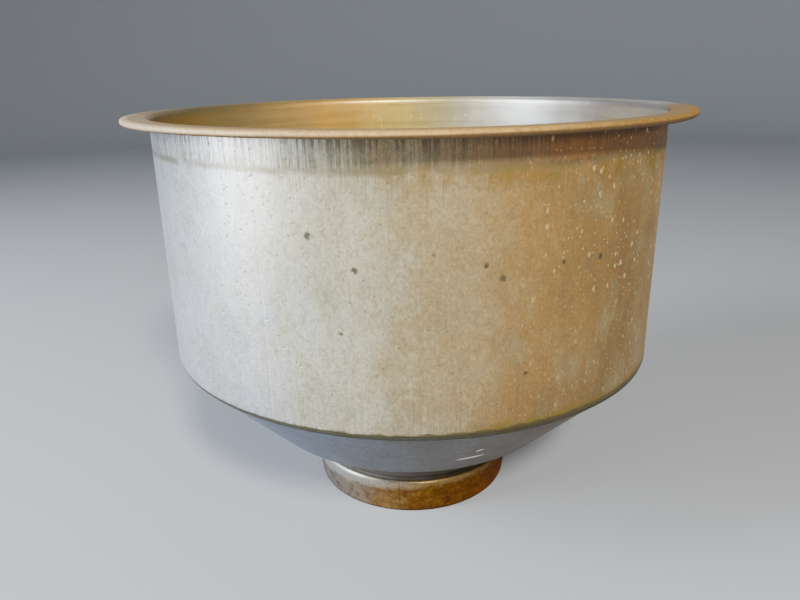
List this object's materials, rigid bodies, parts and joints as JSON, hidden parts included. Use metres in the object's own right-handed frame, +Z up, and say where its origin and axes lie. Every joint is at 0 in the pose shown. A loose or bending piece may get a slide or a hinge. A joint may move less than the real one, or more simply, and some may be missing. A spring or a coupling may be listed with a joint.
{
  "type": "metal straining funnel",
  "caption": "Large sheet-metal straining funnel with a cylindrical bowl, cone bottom, tapered outlet collar and a lift-out perforated filter set.",
  "frame": {"origin": "centre of the collar's foot, on the surface the funnel stands on", "axes": "+Z up along the axis of the bowl, -Y towards the finger loops of the clamp ring"},
  "size_m": [0.34, 0.34, 0.253],
  "materials": {
    "wall_tin": "tinned sheet, vertical drawing lines, warm oxide, pits and scratches",
    "cone_tin": "smooth dull tinned sheet, cool grey",
    "collar_steel": "rust-brown steel worn bright at the shoulder",
    "solder": "dull dark solder",
    "strainer_tin": "satin tinned sheet",
    "spring_wire": "drawn bright wire",
    "cotton": "pressed cotton filter disc"
  },
  "bodies": {
    "bowl": {"bowl_wall": "wall_tin", "rim_wire": "collar_steel", "bowl_cone": "cone_tin", "crease_solder": "solder", "outlet_neck": "cone_tin", "neck_solder": "solder", "collar": "collar_steel", "collar_solder": "solder"},
    "lower_plate": {"lower_plate": "strainer_tin"},
    "filter_pad": {"filter_pad": "cotton"},
    "upper_plate": {"upper_plate": "strainer_tin", "splash_dome": "strainer_tin", "lift_staple": "strainer_tin", "dome_leg_1": "strainer_tin", "dome_leg_2": "strainer_tin", "dome_leg_3": "strainer_tin", "foot_rivet_1": "spring_wire", "foot_rivet_2": "spring_wire", "foot_rivet_3": "spring_wire", "dome_rivet_1": "spring_wire", "dome_rivet_2": "spring_wire", "dome_rivet_3": "spring_wire"},
    "clamp_ring": {"clamp_ring": "spring_wire"},
    "lift_ring": {"lift_ring": "spring_wire"}
  },
  "joints": [
    {"name": "lower_plate_lift", "type": "slide", "parent": "bowl", "child": "lower_plate", "axis": [0, 0, 1], "range_m": [0, 0.24]},
    {"name": "filter_pad_lift", "type": "slide", "parent": "lower_plate", "child": "filter_pad", "axis": [0, 0, 1], "range_m": [0, 0.24]},
    {"name": "upper_plate_lift", "type": "slide", "parent": "filter_pad", "child": "upper_plate", "axis": [0, 0, 1], "range_m": [0, 0.24]},
    {"name": "clamp_ring_lift", "type": "slide", "parent": "upper_plate", "child": "clamp_ring", "axis": [0, 0, 1], "range_m": [0, 0.24]},
    {"name": "lift_ring_turn", "type": "hinge", "parent": "upper_plate", "child": "lift_ring", "pos_m": [0, 0, 0.05785], "axis": [1, 0, 0], "range_deg": [0, 190]}
  ]
}
